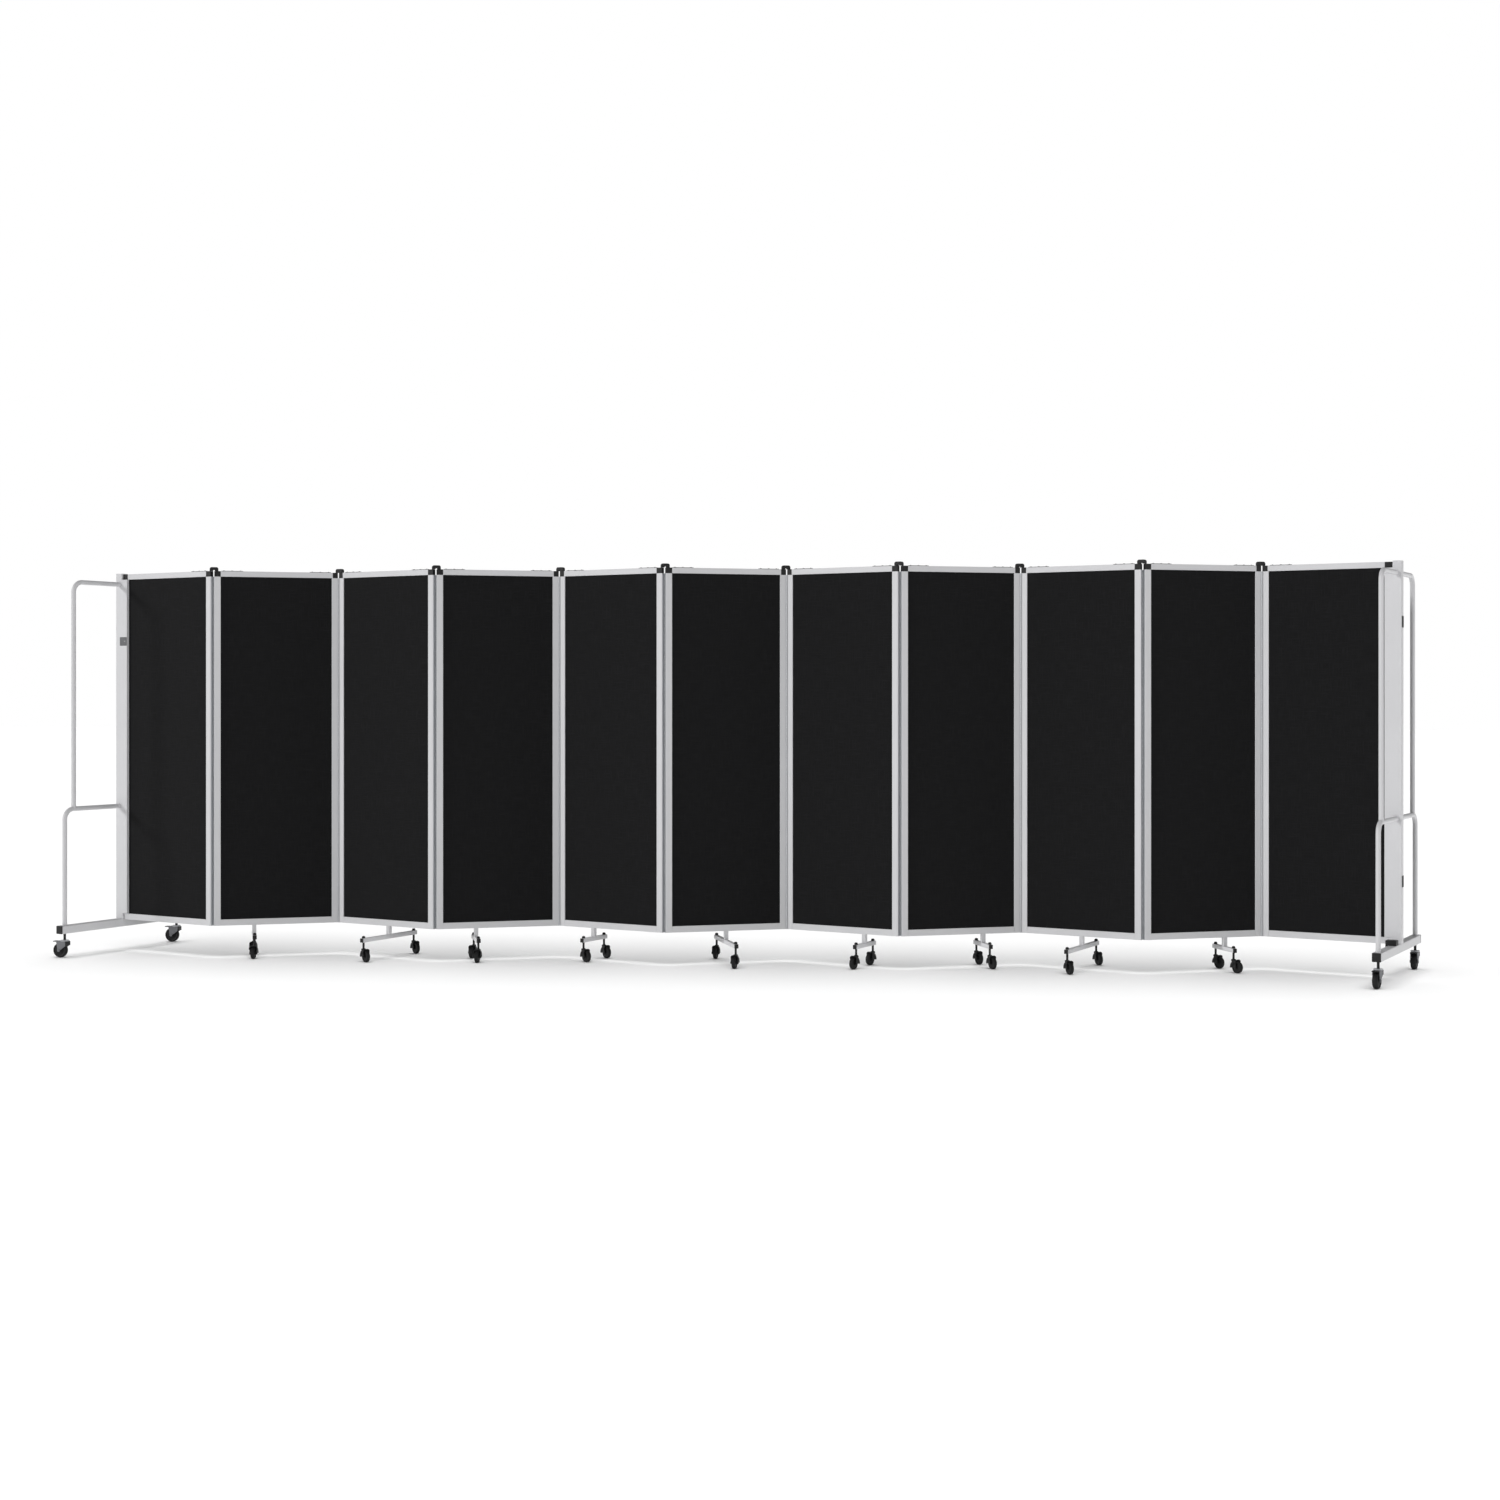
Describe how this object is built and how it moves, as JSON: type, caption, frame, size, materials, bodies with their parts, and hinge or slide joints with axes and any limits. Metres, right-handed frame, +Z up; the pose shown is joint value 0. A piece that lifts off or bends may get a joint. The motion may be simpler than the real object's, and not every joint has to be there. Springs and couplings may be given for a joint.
{
  "type": "portable room divider",
  "caption": "Folding room divider: fabric panels in slim metal frames on T-feet with small casters, between two wheeled hoop end frames.",
  "frame": {"origin": "on the floor at the bottom centre of the standing zigzag, under the middle panel's centre", "axes": "+X along the row to the right as seen from the front, +Y to the back, +Z up"},
  "size_m": [6.3425, 0.9857, 1.8445],
  "materials": {
    "frame_metal": "satin silver-grey powder coat",
    "infill_fabric": "tight black woven panel fabric",
    "black_moulding": "matt moulded black plastic",
    "caster_fork": "dark grey painted pressed steel",
    "wheel_tread": "black rubber"
  },
  "bodies": {
    "panel_06": {"panel_frame_06": "frame_metal", "infill_06": "infill_fabric", "hinge_cap_05": "black_moulding", "hinge_cap_06": "black_moulding"},
    "panel_01": {"panel_frame_01": "frame_metal", "infill_01": "infill_fabric", "end_frame_left": "frame_metal"},
    "panel_02": {"panel_frame_02": "frame_metal", "infill_02": "infill_fabric", "hinge_cap_01": "black_moulding"},
    "panel_03": {"panel_frame_03": "frame_metal", "infill_03": "infill_fabric", "hinge_cap_02": "black_moulding"},
    "panel_04": {"panel_frame_04": "frame_metal", "infill_04": "infill_fabric", "hinge_cap_03": "black_moulding"},
    "panel_05": {"panel_frame_05": "frame_metal", "infill_05": "infill_fabric", "hinge_cap_04": "black_moulding"},
    "panel_07": {"panel_frame_07": "frame_metal", "infill_07": "infill_fabric", "hinge_cap_07": "black_moulding"},
    "panel_08": {"panel_frame_08": "frame_metal", "infill_08": "infill_fabric", "hinge_cap_08": "black_moulding"},
    "panel_09": {"panel_frame_09": "frame_metal", "infill_09": "infill_fabric", "hinge_cap_09": "black_moulding"},
    "panel_10": {"panel_frame_10": "frame_metal", "infill_10": "infill_fabric", "hinge_cap_10": "black_moulding"},
    "panel_11": {"panel_frame_11": "frame_metal", "infill_11": "infill_fabric", "end_frame_right": "frame_metal"},
    "foot_caster_02_front": {"foot_caster_02_front": "black_moulding"},
    "foot_caster_02_rear": {"foot_caster_02_rear": "black_moulding"},
    "foot_caster_03_front": {"foot_caster_03_front": "black_moulding"},
    "foot_caster_03_rear": {"foot_caster_03_rear": "black_moulding"},
    "foot_caster_04_front": {"foot_caster_04_front": "black_moulding"},
    "foot_caster_04_rear": {"foot_caster_04_rear": "black_moulding"},
    "foot_caster_05_front": {"foot_caster_05_front": "black_moulding"},
    "foot_caster_05_rear": {"foot_caster_05_rear": "black_moulding"},
    "foot_caster_06_front": {"foot_caster_06_front": "black_moulding"},
    "foot_caster_06_rear": {"foot_caster_06_rear": "black_moulding"},
    "foot_caster_07_front": {"foot_caster_07_front": "black_moulding"},
    "foot_caster_07_rear": {"foot_caster_07_rear": "black_moulding"},
    "foot_caster_08_front": {"foot_caster_08_front": "black_moulding"},
    "foot_caster_08_rear": {"foot_caster_08_rear": "black_moulding"},
    "foot_caster_09_front": {"foot_caster_09_front": "black_moulding"},
    "foot_caster_09_rear": {"foot_caster_09_rear": "black_moulding"},
    "foot_caster_10_front": {"foot_caster_10_front": "black_moulding"},
    "foot_caster_10_rear": {"foot_caster_10_rear": "black_moulding"},
    "end_fork_left_front": {"end_fork_left_front": "caster_fork"},
    "end_wheel_left_front": {"end_wheel_left_front": "wheel_tread"},
    "end_fork_left_rear": {"end_fork_left_rear": "caster_fork"},
    "end_wheel_left_rear": {"end_wheel_left_rear": "wheel_tread"},
    "end_fork_right_front": {"end_fork_right_front": "caster_fork"},
    "end_wheel_right_front": {"end_wheel_right_front": "wheel_tread"},
    "end_fork_right_rear": {"end_fork_right_rear": "caster_fork"},
    "end_wheel_right_rear": {"end_wheel_right_rear": "wheel_tread"}
  },
  "joints": [
    {"name": "fold_05", "type": "hinge", "parent": "panel_06", "child": "panel_05", "pos_m": [-0.27058, -0.09855, 0.9], "axis": [0, 0, -1], "range_deg": [-45, 80]},
    {"name": "fold_04", "type": "hinge", "parent": "panel_05", "child": "panel_04", "pos_m": [-0.81175, 0.09855, 0.9], "axis": [0, 0, 1], "range_deg": [-45, 125]},
    {"name": "fold_03", "type": "hinge", "parent": "panel_04", "child": "panel_03", "pos_m": [-1.35292, -0.09855, 0.9], "axis": [0, 0, -1], "range_deg": [-45, 125]},
    {"name": "fold_02", "type": "hinge", "parent": "panel_03", "child": "panel_02", "pos_m": [-1.89409, 0.09855, 0.9], "axis": [0, 0, 1], "range_deg": [-45, 80]},
    {"name": "fold_01", "type": "hinge", "parent": "panel_02", "child": "panel_01", "pos_m": [-2.43525, -0.09855, 0.9], "axis": [0, 0, -1], "range_deg": [-45, 105]},
    {"name": "fold_06", "type": "hinge", "parent": "panel_06", "child": "panel_07", "pos_m": [0.27058, 0.09855, 0.9], "axis": [0, 0, -1], "range_deg": [-45, 80]},
    {"name": "fold_07", "type": "hinge", "parent": "panel_07", "child": "panel_08", "pos_m": [0.81175, -0.09855, 0.9], "axis": [0, 0, 1], "range_deg": [-45, 125]},
    {"name": "fold_08", "type": "hinge", "parent": "panel_08", "child": "panel_09", "pos_m": [1.35292, 0.09855, 0.9], "axis": [0, 0, -1], "range_deg": [-45, 125]},
    {"name": "fold_09", "type": "hinge", "parent": "panel_09", "child": "panel_10", "pos_m": [1.89409, -0.09855, 0.9], "axis": [0, 0, 1], "range_deg": [-45, 80]},
    {"name": "fold_10", "type": "hinge", "parent": "panel_10", "child": "panel_11", "pos_m": [2.43525, 0.09855, 0.9], "axis": [0, 0, -1], "range_deg": [-45, 105]},
    {"name": "swivel_02_front", "type": "hinge", "parent": "panel_02", "child": "foot_caster_02_front", "pos_m": [-2.22768, -0.11702, 0.07], "axis": [0, 0, 1], "continuous": true},
    {"name": "swivel_02_rear", "type": "hinge", "parent": "panel_02", "child": "foot_caster_02_rear", "pos_m": [-2.29197, 0.03819, 0.07], "axis": [0, 0, 1], "continuous": true},
    {"name": "swivel_03_front", "type": "hinge", "parent": "panel_03", "child": "foot_caster_03_front", "pos_m": [-1.6783, -0.17267, 0.07], "axis": [0, 0, 1], "continuous": true},
    {"name": "swivel_03_rear", "type": "hinge", "parent": "panel_03", "child": "foot_caster_03_rear", "pos_m": [-1.54015, 0.16085, 0.07], "axis": [0, 0, 1], "continuous": true},
    {"name": "swivel_04_front", "type": "hinge", "parent": "panel_04", "child": "foot_caster_04_front", "pos_m": [-1.14535, -0.11702, 0.07], "axis": [0, 0, 1], "continuous": true},
    {"name": "swivel_04_rear", "type": "hinge", "parent": "panel_04", "child": "foot_caster_04_rear", "pos_m": [-1.20964, 0.03819, 0.07], "axis": [0, 0, 1], "continuous": true},
    {"name": "swivel_05_front", "type": "hinge", "parent": "panel_05", "child": "foot_caster_05_front", "pos_m": [-0.66371, -0.04016, 0.07], "axis": [0, 0, 1], "continuous": true},
    {"name": "swivel_05_rear", "type": "hinge", "parent": "panel_05", "child": "foot_caster_05_rear", "pos_m": [-0.59942, 0.11505, 0.07], "axis": [0, 0, 1], "continuous": true},
    {"name": "swivel_06_front", "type": "hinge", "parent": "panel_06", "child": "foot_caster_06_front", "pos_m": [0.06907, -0.16676, 0.07], "axis": [0, 0, 1], "continuous": true},
    {"name": "swivel_06_rear", "type": "hinge", "parent": "panel_06", "child": "foot_caster_06_rear", "pos_m": [-0.06907, 0.16676, 0.07], "axis": [0, 0, 1], "continuous": true},
    {"name": "swivel_07_front", "type": "hinge", "parent": "panel_07", "child": "foot_caster_07_front", "pos_m": [0.6137, -0.12096, 0.07], "axis": [0, 0, 1], "continuous": true},
    {"name": "swivel_07_rear", "type": "hinge", "parent": "panel_07", "child": "foot_caster_07_rear", "pos_m": [0.67799, 0.03425, 0.07], "axis": [0, 0, 1], "continuous": true},
    {"name": "swivel_08_front", "type": "hinge", "parent": "panel_08", "child": "foot_caster_08_front", "pos_m": [1.2144, -0.03622, 0.07], "axis": [0, 0, 1], "continuous": true},
    {"name": "swivel_08_rear", "type": "hinge", "parent": "panel_08", "child": "foot_caster_08_rear", "pos_m": [1.15011, 0.11899, 0.07], "axis": [0, 0, 1], "continuous": true},
    {"name": "swivel_09_front", "type": "hinge", "parent": "panel_09", "child": "foot_caster_09_front", "pos_m": [1.55919, -0.16873, 0.07], "axis": [0, 0, 1], "continuous": true},
    {"name": "swivel_09_rear", "type": "hinge", "parent": "panel_09", "child": "foot_caster_09_rear", "pos_m": [1.69733, 0.16479, 0.07], "axis": [0, 0, 1], "continuous": true},
    {"name": "swivel_10_front", "type": "hinge", "parent": "panel_10", "child": "foot_caster_10_front", "pos_m": [2.29673, -0.03622, 0.07], "axis": [0, 0, 1], "continuous": true},
    {"name": "swivel_10_rear", "type": "hinge", "parent": "panel_10", "child": "foot_caster_10_rear", "pos_m": [2.23244, 0.11899, 0.07], "axis": [0, 0, 1], "continuous": true},
    {"name": "end_swivel_left_front", "type": "hinge", "parent": "panel_01", "child": "end_fork_left_front", "pos_m": [-3.12687, -0.20823, 0.085], "axis": [0, 0, 1], "continuous": true},
    {"name": "end_roll_left_front", "type": "hinge", "parent": "end_fork_left_front", "child": "end_wheel_left_front", "pos_m": [-3.14866, -0.20517, 0.035], "axis": [-0.1392, -0.9903, 0], "continuous": true},
    {"name": "end_swivel_left_rear", "type": "hinge", "parent": "panel_01", "child": "end_fork_left_rear", "pos_m": [-2.85631, 0.44495, 0.085], "axis": [0, 0, 1], "continuous": true},
    {"name": "end_roll_left_rear", "type": "hinge", "parent": "end_fork_left_rear", "child": "end_wheel_left_rear", "pos_m": [-2.8783, 0.44572, 0.035], "axis": [-0.0349, -0.9994, 0], "continuous": true},
    {"name": "end_swivel_right_front", "type": "hinge", "parent": "panel_11", "child": "end_fork_right_front", "pos_m": [2.85631, -0.44495, 0.085], "axis": [0, 0, 1], "continuous": true},
    {"name": "end_roll_right_front", "type": "hinge", "parent": "end_fork_right_front", "child": "end_wheel_right_front", "pos_m": [2.84702, -0.46489, 0.035], "axis": [0.9063, -0.4226, 0], "continuous": true},
    {"name": "end_swivel_right_rear", "type": "hinge", "parent": "panel_11", "child": "end_fork_right_rear", "pos_m": [3.12687, 0.20823, 0.085], "axis": [0, 0, 1], "continuous": true},
    {"name": "end_roll_right_rear", "type": "hinge", "parent": "end_fork_right_rear", "child": "end_wheel_right_rear", "pos_m": [3.11935, 0.18755, 0.035], "axis": [0.9397, -0.342, 0], "continuous": true}
  ]
}
